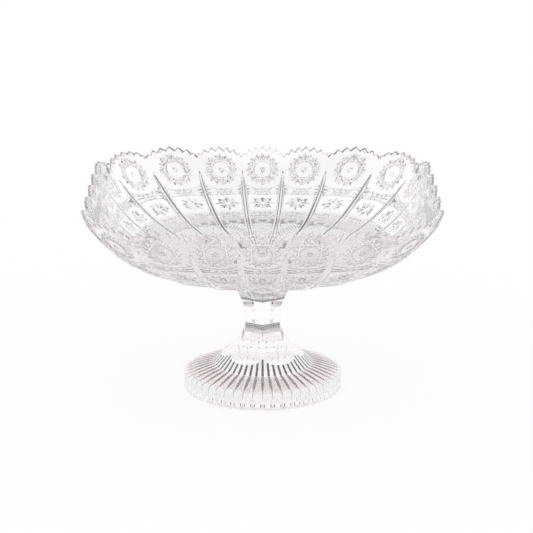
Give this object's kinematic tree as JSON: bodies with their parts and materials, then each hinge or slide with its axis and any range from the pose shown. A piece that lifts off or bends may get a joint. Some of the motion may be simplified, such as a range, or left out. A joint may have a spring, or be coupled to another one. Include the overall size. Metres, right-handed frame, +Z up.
{
  "type": "footed compote bowl",
  "caption": "Cut crystal compote bowl with a rounded-square saw-toothed rim on a waisted six-sided stem and a round rayed foot.",
  "frame": {"origin": "centre of the foot's underside, on the surface that the object stands on", "axes": "+Z up along the stem, -Y towards the front flat side of the bowl, +X to the right"},
  "size_m": [0.2796, 0.2796, 0.168],
  "materials": {
    "bowl_glass": "cut and polished clear crystal",
    "stem_glass": "fire-polished clear crystal, ground flat at both ends",
    "foot_glass": "fire-polished clear crystal with a rayed top",
    "adhesive": "thin clear cured adhesive"
  },
  "bodies": {
    "root": {"bowl": "bowl_glass", "stem": "stem_glass", "foot": "foot_glass", "bowl_adhesive": "adhesive", "foot_adhesive": "adhesive"}
  },
  "joints": []
}
